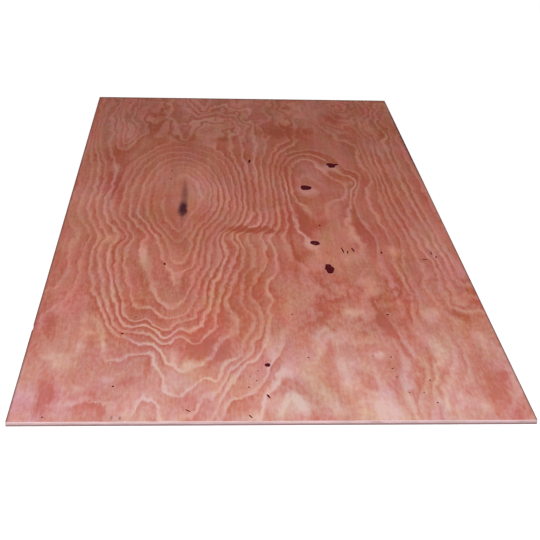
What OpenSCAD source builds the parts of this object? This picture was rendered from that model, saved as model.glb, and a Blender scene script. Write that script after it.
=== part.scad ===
// Softwood plywood sheet with a rotary-cut face veneer, lying face up.
// The origin is the middle of the underside. X runs across the face grain, Y along it, Z up.

/* [Sheet] */
// Length of the sheet, along the face grain
sheet_length = 2440; // [1200:1:3050]
// Width of the sheet, across the face grain
sheet_width = 1220; // [900:1:1525]
// Thickness of the glued-up sheet
sheet_thickness = 12; // [6:0.5:30]

/* [Edges] */
// Radius of the four plan corners, rubbed by handling
corner_radius = 2; // [0.5:0.5:12]
// Width of the worn arris along the edges of both faces
edge_arris = 0.5; // [0.2:0.1:2]

/* [Dead knots] */
// Depth to which the dead knots have torn out of the face veneer
knot_depth = 1.2; // [0.4:0.1:3]
// Upper right knot, place from the middle of the sheet
upper_knot_place = [300, 430]; // [-560:1:560]
// Upper right knot, size across and along the grain
upper_knot_size = [34, 40]; // [8:1:60]
// Middle knot, place from the middle of the sheet
middle_knot_place = [186, 208]; // [-560:1:560]
// Middle knot, size across and along the grain
middle_knot_size = [36, 42]; // [8:1:60]
// Ringed knot, place from the middle of the sheet
ringed_knot_place = [178, -248]; // [-560:1:560]
// Ringed knot, size across and along the grain
ringed_knot_size = [28, 32]; // [8:1:60]
// Double knot, place from the middle of the sheet
double_knot_place = [205, -430]; // [-560:1:560]
// Double knot, size across and along the grain
double_knot_size = [26, 54]; // [8:1:60]
// Pin knot near the front end, place from the middle of the sheet
pin_knot_place = [-5, -973]; // [-1100:1:1100]
// Pin knot near the front end, size across and along the grain
pin_knot_size = [14, 16]; // [8:1:60]

/* [Hidden] */

// Weathered pinkish brown of the peeled face
face_colour = [0.75, 0.47, 0.41];
// Sides of the circle that rounds a plan corner
corner_sides = 48;
// Sides of a knot's outline, and how far its lobes swell it, as a share of its size
knot_sides = 28;
knot_swell = 0.08;
// How far a cutting shape runs past the surface that it opens
overcut = 1;

// Each knot: place, size, lobes of its outline
knots = [
    [upper_knot_place, upper_knot_size, 5],
    [middle_knot_place, middle_knot_size, 3],
    [ringed_knot_place, ringed_knot_size, 2],
    [double_knot_place, double_knot_size, 4],
    [pin_knot_place, pin_knot_size, 3],
];

// Plan of the sheet with its four rubbed corners
module plan_outline() {
    corner_x = sheet_width / 2 - corner_radius;
    corner_y = sheet_length / 2 - corner_radius;
    square([sheet_width, 2 * corner_y], center = true);
    square([2 * corner_x, sheet_length], center = true);
    for (side = [-1, 1], end = [-1, 1])
        translate([side * corner_x, end * corner_y]) circle(r = corner_radius, $fn = corner_sides);
}

// Section of the sheet across a given span, with an arris on its four corners
module section(span) {
    half = span / 2;
    polygon([
        [-half + edge_arris, 0], [half - edge_arris, 0],
        [half, edge_arris], [half, sheet_thickness - edge_arris],
        [half - edge_arris, sheet_thickness], [-half + edge_arris, sheet_thickness],
        [-half, sheet_thickness - edge_arris], [-half, edge_arris],
    ]);
}

// The sawn blank: its plan cut to the section across the grain and to the section along it
module blank() {
    intersection() {
        linear_extrude(sheet_thickness) plan_outline();
        rotate([90, 0, 0])
            linear_extrude(sheet_length + 2 * overcut, center = true) section(sheet_width);
        rotate([90, 0, 90])
            linear_extrude(sheet_width + 2 * overcut, center = true) section(sheet_length);
    }
}

// Outline of a knot of a given size, swollen a little at each of its lobes
function knot_outline(size, lobes) = [
    for (i = [0 : knot_sides - 1])
        let (turn = 360 * i / knot_sides, swell = 1 + knot_swell * sin(lobes * turn))
        [size.x / 2 * swell * cos(turn), size.y / 2 * swell * sin(turn)]
];

// Shallow pits where the dead knots have torn out
module knot_pits() {
    for (knot = knots)
        translate([knot[0].x, knot[0].y, sheet_thickness - knot_depth])
            linear_extrude(knot_depth + overcut) polygon(knot_outline(knot[1], knot[2]));
}

module plywood_sheet() {
    color(face_colour)
        difference() {
            blank();
            knot_pits();
        }
}

plywood_sheet();
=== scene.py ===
import math
import bpy
import numpy as np
from mathutils import Matrix, Vector, noise
from mathutils.geometry import delaunay_2d_cdt


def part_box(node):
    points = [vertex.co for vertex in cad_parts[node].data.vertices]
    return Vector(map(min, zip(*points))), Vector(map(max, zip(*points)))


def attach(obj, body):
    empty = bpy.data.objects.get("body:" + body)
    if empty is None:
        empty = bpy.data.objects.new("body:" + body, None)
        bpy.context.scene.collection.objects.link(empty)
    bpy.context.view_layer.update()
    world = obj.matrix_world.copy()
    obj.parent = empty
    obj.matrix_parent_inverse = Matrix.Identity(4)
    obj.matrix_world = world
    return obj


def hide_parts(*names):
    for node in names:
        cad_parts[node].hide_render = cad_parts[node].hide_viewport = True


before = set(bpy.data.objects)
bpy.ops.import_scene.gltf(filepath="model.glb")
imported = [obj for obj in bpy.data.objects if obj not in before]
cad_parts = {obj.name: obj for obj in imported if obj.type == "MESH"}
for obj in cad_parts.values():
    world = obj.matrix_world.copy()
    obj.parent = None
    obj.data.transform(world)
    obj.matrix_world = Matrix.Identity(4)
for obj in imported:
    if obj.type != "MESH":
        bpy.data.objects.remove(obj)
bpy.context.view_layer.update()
_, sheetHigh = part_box("plywood_sheet")
halfWide = sheetHigh.x
halfLong = sheetHigh.y
thick = sheetHigh.z
mm = 0.001
print("frame loaded: sheet of", round(2 * halfWide, 3), "by", round(2 * halfLong, 3), "by", round(thick, 4))


# node helpers

def put(tree, kind, **settings):
    node = tree.nodes.new(kind)
    for name, value in settings.items():
        setattr(node, name, value)
    return node


def feed(tree, socket, value):
    if isinstance(value, bpy.types.NodeSocket):
        tree.links.new(value, socket)
    else:
        socket.default_value = value


def calc(tree, operation, *values):
    node = put(tree, "ShaderNodeMath", operation=operation)
    for socket, value in zip(node.inputs, values):
        feed(tree, socket, value)
    return node.outputs[0]


def total(tree, *values):
    result = values[0]
    for value in values[1:]:
        result = calc(tree, "ADD", result, value)
    return result


def product(tree, *values):
    result = values[0]
    for value in values[1:]:
        result = calc(tree, "MULTIPLY", result, value)
    return result


def offMiddle(tree, value, strength):
    return product(tree, calc(tree, "SUBTRACT", value, 0.5), strength)


def along(tree, operation, *values):
    node = put(tree, "ShaderNodeVectorMath", operation=operation)
    for socket, value in zip(node.inputs, values):
        feed(tree, socket, value)
    return node.outputs[0]


def span(tree, value, low, high, toLow=0.0, toHigh=1.0, way="LINEAR"):
    node = put(tree, "ShaderNodeMapRange", interpolation_type=way)
    for socket, number in zip(node.inputs, (value, low, high, toLow, toHigh)):
        feed(tree, socket, number)
    return node.outputs[0]


def step(tree, value, low, high, toLow=0.0, toHigh=1.0):
    return span(tree, value, low, high, toLow, toHigh, "SMOOTHSTEP")


def tint(tree, share, first, second):
    node = put(tree, "ShaderNodeMix", data_type="RGBA")
    feed(tree, node.inputs[0], share)
    feed(tree, node.inputs[6], first)
    feed(tree, node.inputs[7], second)
    return node.outputs[2]


def parts(tree, vector):
    node = put(tree, "ShaderNodeSeparateXYZ")
    feed(tree, node.inputs[0], vector)
    return node.outputs[0], node.outputs[1], node.outputs[2]


def whole(tree, x, y, z):
    node = put(tree, "ShaderNodeCombineXYZ")
    for socket, value in zip(node.inputs, (x, y, z)):
        feed(tree, socket, value)
    return node.outputs[0]


def cloud(tree, point, stretch, detail=2.0, rough=0.5):
    node = put(tree, "ShaderNodeTexNoise")
    feed(tree, node.inputs["Vector"], along(tree, "MULTIPLY", point, stretch))
    node.inputs["Scale"].default_value = 1.0
    node.inputs["Detail"].default_value = detail
    node.inputs["Roughness"].default_value = rough
    return node.outputs["Fac"], node.outputs["Color"]


def newGroup(name, takes, gives):
    tree = bpy.data.node_groups.new(name, "ShaderNodeTree")
    for label, kind in takes:
        tree.interface.new_socket(name=label, in_out="INPUT", socket_type="NodeSocket" + kind)
    for label, kind in gives:
        tree.interface.new_socket(name=label, in_out="OUTPUT", socket_type="NodeSocket" + kind)
    return tree, put(tree, "NodeGroupInput").outputs, put(tree, "NodeGroupOutput").inputs


def place(tree, group, **values):
    node = put(tree, "ShaderNodeGroup", node_tree=group)
    for label, value in values.items():
        feed(tree, node.inputs[label], value)
    return node.outputs


# shared effects, each made once

def makeGrowthHill():  # rings that lie over one hill or bowl of the peeled log
    takes = [("Point", "Vector"), ("Place", "Vector"), ("Across", "Vector"), ("Along", "Vector"),
             ("Core", "Float"), ("Rings", "Float")]
    tree, given, out = newGroup("growthHill", takes, [("Height", "Float")])
    x, y, _ = parts(tree, along(tree, "SUBTRACT", given["Point"], given["Place"]))

    def share(offset, pair):  # each side has its own reach
        low, high, _ = parts(tree, pair)
        onHigh = calc(tree, "GREATER_THAN", offset, 0.0)
        ratio = calc(tree, "DIVIDE", offset, span(tree, onHigh, 0.0, 1.0, low, high))
        return product(tree, ratio, ratio)

    reach = calc(tree, "SQRT", total(tree, share(x, given["Across"]), share(y, given["Along"])))
    feed(tree, out["Height"], step(tree, reach, given["Core"], 1.0, given["Rings"], 0.0))
    return tree


def makeGrowthRings():  # a pale early line, then a fall into the late wood, darkest at its end
    takes = [("Height", "Float"), ("Rise", "Float"), ("Spread", "Float")]
    tree, given, out = newGroup("growthRings", takes, [("Pale", "Float"), ("Weight", "Float")])
    lot = put(tree, "ShaderNodeTexWhiteNoise", noise_dimensions="1D")
    feed(tree, lot.inputs["W"], calc(tree, "FLOOR", given["Height"]))
    bias = span(tree, lot.outputs["Value"], 0.0, 1.0, 0.75, 1.45)
    phase = calc(tree, "POWER", calc(tree, "FRACT", given["Height"]), bias)
    rise = step(tree, phase, 0.0, product(tree, given["Spread"], given["Rise"]))
    fall = step(tree, phase, product(tree, given["Spread"], 0.35), given["Spread"], 1.0, 0.0)
    late = step(tree, phase, 0.70, 0.95, 0.0, 0.22)
    feed(tree, out["Pale"], calc(tree, "SUBTRACT", calc(tree, "MULTIPLY", rise, fall), late))
    feed(tree, out["Weight"], lot.outputs["Value"])
    return tree


def makeGrainWarp():  # wanders the grain, with jags of its own
    takes = [("Point", "Vector"), ("Sway", "Float"), ("Jag", "Float")]
    tree, given, out = newGroup("grainWarp", takes, [("Moved", "Vector")])
    _, drift = cloud(tree, given["Point"], (6.0, 2.5, 1.0), 2.0)
    _, kink = cloud(tree, given["Point"], (20.0, 8.0, 1.0), 3.0, 0.5)
    drift = along(tree, "MULTIPLY", along(tree, "SUBTRACT", drift, (0.5, 0.5, 0.5)), (2.0, 4.0, 0.0))
    kink = along(tree, "MULTIPLY", along(tree, "SUBTRACT", kink, (0.5, 0.5, 0.5)), (0.5, 2.0, 0.0))
    drift = along(tree, "MULTIPLY", drift, whole(tree, given["Sway"], given["Sway"], 0.0))
    kink = along(tree, "MULTIPLY", kink, whole(tree, given["Jag"], given["Jag"], 0.0))
    feed(tree, out["Moved"], along(tree, "ADD", given["Point"], along(tree, "ADD", drift, kink)))
    return tree


def makeWoodFibre():  # fine fibres and the wider streaks that they lie in
    takes = [("Point", "Vector"), ("Across", "Float"), ("Along", "Float")]
    tree, given, out = newGroup("woodFibre", takes, [("Fibre", "Float"), ("Streak", "Float")])
    stretch = whole(tree, given["Across"], given["Along"], given["Across"])
    wider = along(tree, "MULTIPLY", stretch, (0.2, 0.3, 0.2))
    fine, _ = cloud(tree, given["Point"], stretch, 3.0, 0.6)
    wide, _ = cloud(tree, given["Point"], wider, 2.0, 0.5)
    feed(tree, out["Fibre"], span(tree, fine, 0.3, 0.7))
    feed(tree, out["Streak"], span(tree, wide, 0.3, 0.7))
    return tree


def makeSoftSpot():  # an oval with a soft rim
    takes = [("Point", "Vector"), ("Place", "Vector"), ("Size", "Vector"), ("Soft", "Float")]
    tree, given, out = newGroup("softSpot", takes, [("Mask", "Float")])
    offset = along(tree, "SUBTRACT", given["Point"], given["Place"])
    x, y, _ = parts(tree, along(tree, "DIVIDE", offset, given["Size"]))
    reach = calc(tree, "SQRT", total(tree, product(tree, x, x), product(tree, y, y)))
    inner = calc(tree, "SUBTRACT", 1.0, given["Soft"])
    feed(tree, out["Mask"], step(tree, reach, inner, 1.0, 1.0, 0.0))
    return tree


def makeRimDarkening():  # darkening that fades in from the rim of a face
    takes = [("Point", "Vector"), ("Half", "Vector"),
             ("Side", "Float"), ("Far", "Float"), ("Near", "Float")]
    tree, given, out = newGroup("rimDarkening", takes, [("Mask", "Float")])
    x, y, _ = parts(tree, given["Point"])
    wide, long, _ = parts(tree, given["Half"])
    fromSide = calc(tree, "SUBTRACT", wide, calc(tree, "ABSOLUTE", x))
    side = step(tree, fromSide, 0.0, given["Side"], 1.0, 0.0)
    far = step(tree, calc(tree, "SUBTRACT", long, y), 0.0, given["Far"], 1.0, 0.0)
    near = step(tree, calc(tree, "ADD", long, y), 0.0, given["Near"], 1.0, 0.0)
    feed(tree, out["Mask"], calc(tree, "MAXIMUM", side, calc(tree, "MAXIMUM", far, near)))
    return tree


def makeFlecks():  # small dark specks of pitch and dirt
    takes = [("Point", "Vector"), ("Scale", "Float"), ("Share", "Float")]
    tree, given, out = newGroup("flecks", takes, [("Mask", "Float")])
    cells = put(tree, "ShaderNodeTexVoronoi", feature="F1")
    feed(tree, cells.inputs["Vector"], given["Point"])
    feed(tree, cells.inputs["Scale"], given["Scale"])
    dot = step(tree, cells.outputs["Distance"], 0.05, 0.16, 1.0, 0.0)
    red, _, _ = parts(tree, cells.outputs["Color"])
    feed(tree, out["Mask"], product(tree, dot, calc(tree, "LESS_THAN", red, given["Share"])))
    return tree


growthHill = makeGrowthHill()
growthRings = makeGrowthRings()
grainWarp = makeGrainWarp()
woodFibre = makeWoodFibre()
softSpot = makeSoftSpot()
rimDarkening = makeRimDarkening()
flecks = makeFlecks()
print("shared effects made")


def addHill(tree, point, spot, across, along, rings, core=0.0):
    where = dict(Place=(*spot, 0), Across=(*across, 0), Along=(*along, 0))
    return place(tree, growthHill, Point=point, Core=core, Rings=rings, **where)["Height"]


def addSpot(tree, point, spot, size, soft):
    return place(tree, softSpot, Point=point, Place=(*spot, 0), Size=(*size, 1), Soft=soft)["Mask"]


def newMaterial(name):
    stuff = bpy.data.materials.new(name)
    stuff.use_nodes = True
    tree = stuff.node_tree
    return stuff, tree, tree.nodes["Principled BSDF"], put(tree, "ShaderNodeTexCoord").outputs


def addBump(tree, shader, height, strength, distance):
    bump = put(tree, "ShaderNodeBump")
    bump.inputs["Strength"].default_value = strength
    bump.inputs["Distance"].default_value = distance
    feed(tree, bump.inputs["Height"], height)
    feed(tree, shader.inputs["Normal"], bump.outputs["Normal"])


# face veneer: growth lines read off the sheet, each a level and its path in mm from the middle

growthLines = [
    # rings round the streak, each one a level lower, down to their folded lower ends
    (60, [(-250, 330), (-295, 240), (-310, 120), (-303, 0), (-283, -100), (-262, -160), (-246, -205),
          (-225, -150), (-200, -50), (-172, 60), (-172, 200), (-200, 290), (-250, 330)]),
    (58, [(-250, 430), (-310, 370), (-338, 240), (-347, 100), (-345, 0), (-325, -100), (-290, -200),
          (-262, -300), (-236, -370), (-212, -310), (-206, -220), (-185, -120), (-150, -45), (-130, 60),
          (-130, 200), (-155, 330), (-200, 410), (-250, 430)]),
    (56, [(-255, 515), (-320, 470), (-360, 370), (-380, 240), (-390, 60), (-385, -40), (-360, -120),
          (-330, -205), (-312, -290), (-290, -400), (-262, -500), (-240, -560), (-215, -500),
          (-185, -400), (-172, -300), (-170, -230), (-150, -140), (-118, -60), (-100, 60), (-104, 220),
          (-130, 380), (-190, 480), (-255, 515)]),
    (55, [(-260, 555), (-335, 505), (-382, 400), (-402, 260), (-411, 60), (-407, -40), (-382, -120),
          (-350, -205), (-352, -290), (-343, -390), (-320, -490), (-292, -590), (-250, -665),
          (-225, -630), (-203, -590), (-190, -500), (-168, -400), (-157, -300), (-155, -225),
          (-128, -130), (-98, -50), (-85, 60), (-90, 230), (-115, 400), (-180, 520), (-260, 555)]),
    (54, [(-265, 600), (-345, 550), (-400, 420), (-420, 260), (-432, 60), (-430, -40), (-405, -120),
          (-375, -200), (-392, -270), (-397, -330), (-394, -400), (-374, -500), (-352, -590),
          (-335, -655), (-308, -662), (-282, -690), (-244, -732), (-220, -700), (-198, -640),
          (-183, -590), (-172, -500), (-152, -400), (-141, -300), (-140, -225), (-110, -140), (-78, -50),
          (-68, 60), (-72, 250), (-95, 420), (-170, 560), (-265, 600)]),
    (52, [(-260, 670), (-345, 620), (-410, 500), (-445, 380), (-462, 200), (-475, 50), (-470, -40),
          (-450, -110), (-415, -200), (-428, -260), (-440, -330), (-434, -400), (-420, -500),
          (-404, -600), (-392, -690), (-380, -735), (-360, -760), (-310, -752), (-287, -768),
          (-261, -789), (-240, -777), (-203, -762), (-175, -722), (-150, -600), (-134, -500),
          (-115, -400), (-107, -300), (-112, -225), (-75, -150), (-45, -50), (-35, 80), (-38, 280),
          (-55, 440), (-120, 600), (-190, 660), (-260, 670)]),
    (50, [(-560, 1220), (-550, 1000), (-565, 800), (-560, 650), (-540, 520), (-515, 420), (-508, 300),
          (-512, 150), (-516, 30), (-505, -70), (-485, -140), (-460, -205), (-465, -230), (-478, -290),
          (-470, -400), (-458, -500), (-441, -600), (-420, -700), (-408, -760), (-392, -794),
          (-362, -801), (-310, -797), (-280, -838), (-257, -859), (-235, -839), (-201, -835),
          (-175, -830), (-152, -803), (-132, -760), (-128, -680), (-115, -600), (-98, -500), (-80, -400),
          (-62, -300), (-75, -240), (-95, -205), (-60, -170), (-18, -60), (-5, 80), (-7, 300),
          (-18, 450), (-25, 600), (-20, 750), (-30, 900), (-50, 1000), (-105, 1065), (-150, 1010),
          (-195, 960), (-225, 1020), (-245, 1110), (-250, 1220)]),
    (49, [(-400, -780), (-385, -815), (-370, -828), (-340, -839), (-310, -838), (-287, -858),
          (-257, -885), (-235, -865), (-212, -861), (-182, -857), (-152, -842), (-118, -808),
          (-100, -760)]),
    # lines to the right of them, which a fold pulls to the left and lets go again
    (48, [(80, 1220), (70, 1050), (50, 900), (45, 760), (50, 650), (45, 560), (32, 450), (32, 300),
          (30, 100), (28, -40), (20, -110), (0, -160), (-38, -188), (-55, -204), (-45, -228),
          (-25, -300), (-32, -400), (-58, -500), (-70, -600), (-89, -640), (-85, -660), (-60, -675),
          (-51, -715), (-48, -775), (-55, -812), (-70, -840), (-95, -845), (-108, -880), (-119, -932),
          (-132, -962), (-162, -989), (-205, -998), (-245, -1000), (-275, -940), (-295, -895),
          (-340, -890), (-375, -868), (-400, -830), (-418, -780), (-435, -720), (-455, -660),
          (-480, -622), (-495, -650), (-503, -570), (-505, -500), (-512, -400), (-515, -300),
          (-500, -215), (-530, -130), (-555, -30), (-558, 60), (-550, 200), (-552, 400), (-575, 550),
          (-590, 700), (-585, 1000)]),
    (47, [(-610, -890), (-560, -920), (-510, -985), (-470, -965), (-420, -950), (-340, -938),
          (-305, -922), (-292, -985), (-270, -1075), (-245, -1110), (-205, -1098), (-165, -1062),
          (-140, -1045), (-122, -1040), (-110, -1000), (-85, -957), (-66, -938), (-58, -905),
          (-50, -862), (-32, -826), (-21, -775), (-25, -722), (-30, -685), (-51, -662), (-58, -640),
          (-47, -615), (-48, -600), (-40, -500), (-15, -400), (-5, -300)]),
    (46, [(140, 1220), (150, 1000), (125, 850), (135, 720), (120, 630), (95, 540), (72, 420), (66, 280),
          (66, 100), (62, -40), (55, -110), (38, -160), (8, -190), (-8, -204), (8, -228), (18, -300),
          (12, -400), (-20, -500), (-32, -600), (-30, -625), (-32, -662), (-15, -706), (-10, -767),
          (-14, -805), (-32, -850), (-40, -895), (-48, -945), (-72, -985), (-100, -1002), (-111, -1060),
          (-130, -1105), (-152, -1135), (-168, -1172), (-185, -1220)]),
    (45, [(85, 100), (82, -50), (75, -125), (55, -175), (32, -196), (32, -222), (45, -300), (45, -400),
          (12, -500), (0, -580), (22, -605), (12, -647), (9, -692), (12, -745), (5, -805), (-2, -865),
          (-10, -925), (-25, -962), (-55, -990), (-80, -1040), (-95, -1100), (-120, -1150),
          (-140, -1220)]),
    (44, [(350, 380), (335, 470), (300, 550), (240, 585), (165, 570), (130, 500), (108, 400), (102, 280),
          (105, 100), (104, -50), (100, -120), (90, -165), (75, -190), (72, -215), (80, -300),
          (82, -400), (46, -500), (40, -560), (57, -595), (39, -640), (28, -678), (31, -730), (28, -790),
          (20, -828), (24, -895), (16, -955), (-5, -1030), (-13, -1090), (-38, -1122), (-67, -1142),
          (-98, -1152), (-114, -1180), (-122, -1220)]),
    (43.3, [(140, -200), (130, -400), (110, -560), (110, -700), (120, -850), (110, -1000)]),
    (43, [(-30, -1220), (-15, -1160), (5, -1110), (25, -1072), (45, -1060), (68, -1075), (90, -1108),
          (115, -1145), (140, -1182), (155, -1220)]),
    (42.2, [(40, -1220), (48, -1165)]),
    (46.3, [(-600, -1060), (-500, -1110), (-400, -1080)]),
    (46, [(-350, -1220), (-336, -1170), (-322, -1145), (-299, -1138), (-281, -1158), (-266, -1187),
          (-258, -1220)]),
    (45.5, [(-300, -1220), (-300, -1190)]),
    # left margin
    (46, [(-605, 700), (-600, 400), (-592, 200), (-600, 0), (-585, -100), (-552, -205), (-565, -300),
          (-560, -400), (-562, -480), (-580, -560), (-610, -620)]),
    (47.6, [(-575, -720), (-560, -800), (-500, -860)]),
    # bowl that holds the dead knots, and the lines to the right of it
    (42.4, [(150, -120), (148, 0)]),
    (42, [(145, 100), (140, 250), (150, 380), (180, 470), (225, 490), (250, 420), (268, 340), (300, 280),
          (360, 250)]),
    (41, [(168, 130), (162, 230), (170, 330), (195, 380), (225, 330), (250, 260), (300, 200)]),
    (41.7, [(195, 100), (205, 0)]),
    (42.3, [(320, 100), (260, 60), (265, -30)]),
    (42.6, [(230, -120), (240, -300), (250, -600), (240, -800), (250, -1000), (300, -1200)]),
    (44, [(400, 330), (360, 200), (340, 60), (350, -60), (365, -180), (378, -300), (385, -420),
          (392, -560), (390, -700), (380, -830)]),
    (46, [(420, 700), (425, 500), (440, 300), (430, 100), (432, -50), (450, -250), (430, -420),
          (420, -560), (430, -650)]),
    (48, [(460, 600), (455, 500), (460, 250), (462, 50), (475, -120), (490, -260), (500, -400),
          (505, -560)]),
    (50, [(500, 700), (500, 500), (505, 250), (512, 50), (525, -120), (535, -300), (540, -450),
          (545, -620)]),
    (52, [(545, 900), (545, 600), (550, 300), (560, 0), (572, -250), (580, -500)]),
    (48, [(590, -700), (580, -850), (540, -1000), (560, -1220), (450, -1220)]),
    (45, [(235, 1220), (250, 1030), (275, 900), (320, 800), (385, 700), (410, 600)]),
    (47, [(300, 1220), (315, 1020), (350, 920), (400, 820), (440, 740)]),
    (45, [(385, 1165), (350, 1120), (385, 1080), (420, 1120), (385, 1165)]),
    (43, [(385, 1135), (385, 1105)]),
    # waves above the rings
    (51, [(-330, 1220), (-310, 1050), (-285, 900), (-265, 790), (-240, 702), (-218, 745), (-205, 820),
          (-165, 900), (-105, 985), (-60, 930), (-50, 850), (-48, 750), (-55, 650)]),
    (50.4, [(-252, 820), (-240, 740), (-226, 820)]),
    (51.8, [(-160, 740), (-110, 780), (-110, 860)]),
    (52, [(-380, 1220), (-365, 1000), (-335, 850), (-310, 740)]),
    (52, [(-500, 1220), (-510, 1000), (-490, 800), (-490, 600), (-468, 480), (-445, 560), (-430, 700),
          (-420, 850), (-435, 1000), (-425, 1220)]),
    (54, [(-455, 1220), (-470, 1000), (-450, 800), (-460, 660)]),
    (48, [(-200, 1220), (-195, 1100), (-180, 1060), (-140, 1110), (-105, 1170), (-60, 1110), (-20, 1060),
          (10, 1100), (20, 1220)]),
]
growthSet = {
    "pitch": 40.0,  # between samples of a path
    "axis": 47.0,  # the level that stays where it is
    "ease": (0.77, 0.95, 0.82, 0.88, 1.0),  # share of the rings kept: left, bowl, right, far end, near end
    "squash": 0.5,  # lines run along the grain, so its direction counts for less
    "round": 0.012, "give": 0.004,  # how soft the surface is at a line, and how far it may miss one
    "sway": (0.010, 0.030), "swayScale": (6.0, 2.5),  # across and along the grain
    "jag": (0.004, 0.020), "jagScale": (24.0, 12.0),
    "patchSway": (0.010, 0.025), "fray": (0.008, 0.025), "frayScale": (30.0, 12.0),
    "seeds": {"sway": 0.4, "jag": 7.7, "fray": 5.1},
}


def smoothPath(path, pitch):  # samples of a smooth curve through the points
    closed = path[0] == path[-1]
    ends = (path[-2], path[1]) if closed else (path[0], path[-1])
    spots = [np.array(spot, float) for spot in [ends[0]] + path + [ends[1]]]
    samples = []
    for a, b, c, d in zip(spots, spots[1:], spots[2:], spots[3:]):
        count = max(1, round(np.linalg.norm(c - b) / pitch))
        for t in np.arange(count) / count:
            bend = 2 * a - 5 * b + 4 * c - d
            samples.append(b + 0.5 * t * (c - a + t * (bend + t * (3 * (b - c) + d - a))))
    return samples if closed else samples + [spots[-1]]


def ringEase(places):  # share of the rings kept, from one area of the sheet to the next
    x, y = places.T
    left, bowl, right, far, near = growthSet["ease"]
    ease = np.interp(x, (0.0, 0.12, 0.35, 0.45), (left, bowl, bowl, right))
    ease = left + (ease - left) * np.interp(y, (-0.45, -0.25), (0.0, 1.0))
    ease += (far - ease) * np.interp(y, (0.55, 0.75), (0.0, 1.0))
    return ease + (near - ease) * np.interp(y, (-0.95, -0.75), (1.0, 0.0))


def growthSurface(places):  # level of the growth rings at each place, and how many of them cross a metre
    build = growthSet
    samples = [(level, spot * mm) for level, path in growthLines
               for spot in smoothPath(path, build["pitch"])]
    levels = np.array([level for level, _ in samples], float)
    shape = np.array([1.0, build["squash"]])
    spots = np.array([spot for _, spot in samples]) * shape

    def reach(here, there):
        offset = here[:, None, :] - there[None, :, :]
        return offset, np.sqrt((offset ** 2).sum(2) + build["round"] ** 2)

    middle = levels.mean()
    _, apart = reach(spots, spots)
    weights = np.linalg.solve(-apart + build["give"] * np.eye(len(spots)), levels - middle)
    heights = []
    slopes = []
    for start in range(0, len(places), 2000):
        offset, away = reach(places[start:start + 2000] * shape, spots)
        heights.append(middle - away @ weights)
        steep = -((offset / away[:, :, None]) * weights[None, :, None]).sum(1) * shape
        slopes.append(np.hypot(steep[:, 0], steep[:, 1]))
    ease = ringEase(places)
    levels = build["axis"] + (np.concatenate(heights) - build["axis"]) * ease
    return levels, np.concatenate(slopes) * ease


def wander(x, y, kind):  # two waves of their own, across and along
    across, down = growthSet[kind + "Scale"]
    seed = growthSet["seeds"][kind]
    return ripple(across * x, down * y, seed), ripple(across * x, down * y, seed + 31.7)


def grainPlaces():  # where each point of the mesh is on the log, the grain's own wander put in
    build = growthSet
    places = []
    for x, y, _ in points:
        low = max(0.0, min(1.0, (0.1 - y) / 0.6))
        top = max(0.0, min(1.0, (y - 0.45) / 0.3))
        swayX, swayY = wander(x, y, "sway")
        jagX, jagY = wander(x, y, "jag")
        swayed = 0.4 + top
        jagged = 0.4 + 1.0 * low + 0.8 * top
        places.append((x + build["sway"][0] * swayed * swayX + build["jag"][0] * jagged * jagX,
                       y + build["sway"][1] * swayed * swayY + build["jag"][1] * jagged * jagY))
    return np.array(places)


def meshValue(tree, name):
    return put(tree, "ShaderNodeAttribute", attribute_name=name, attribute_type="GEOMETRY").outputs["Fac"]


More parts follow.
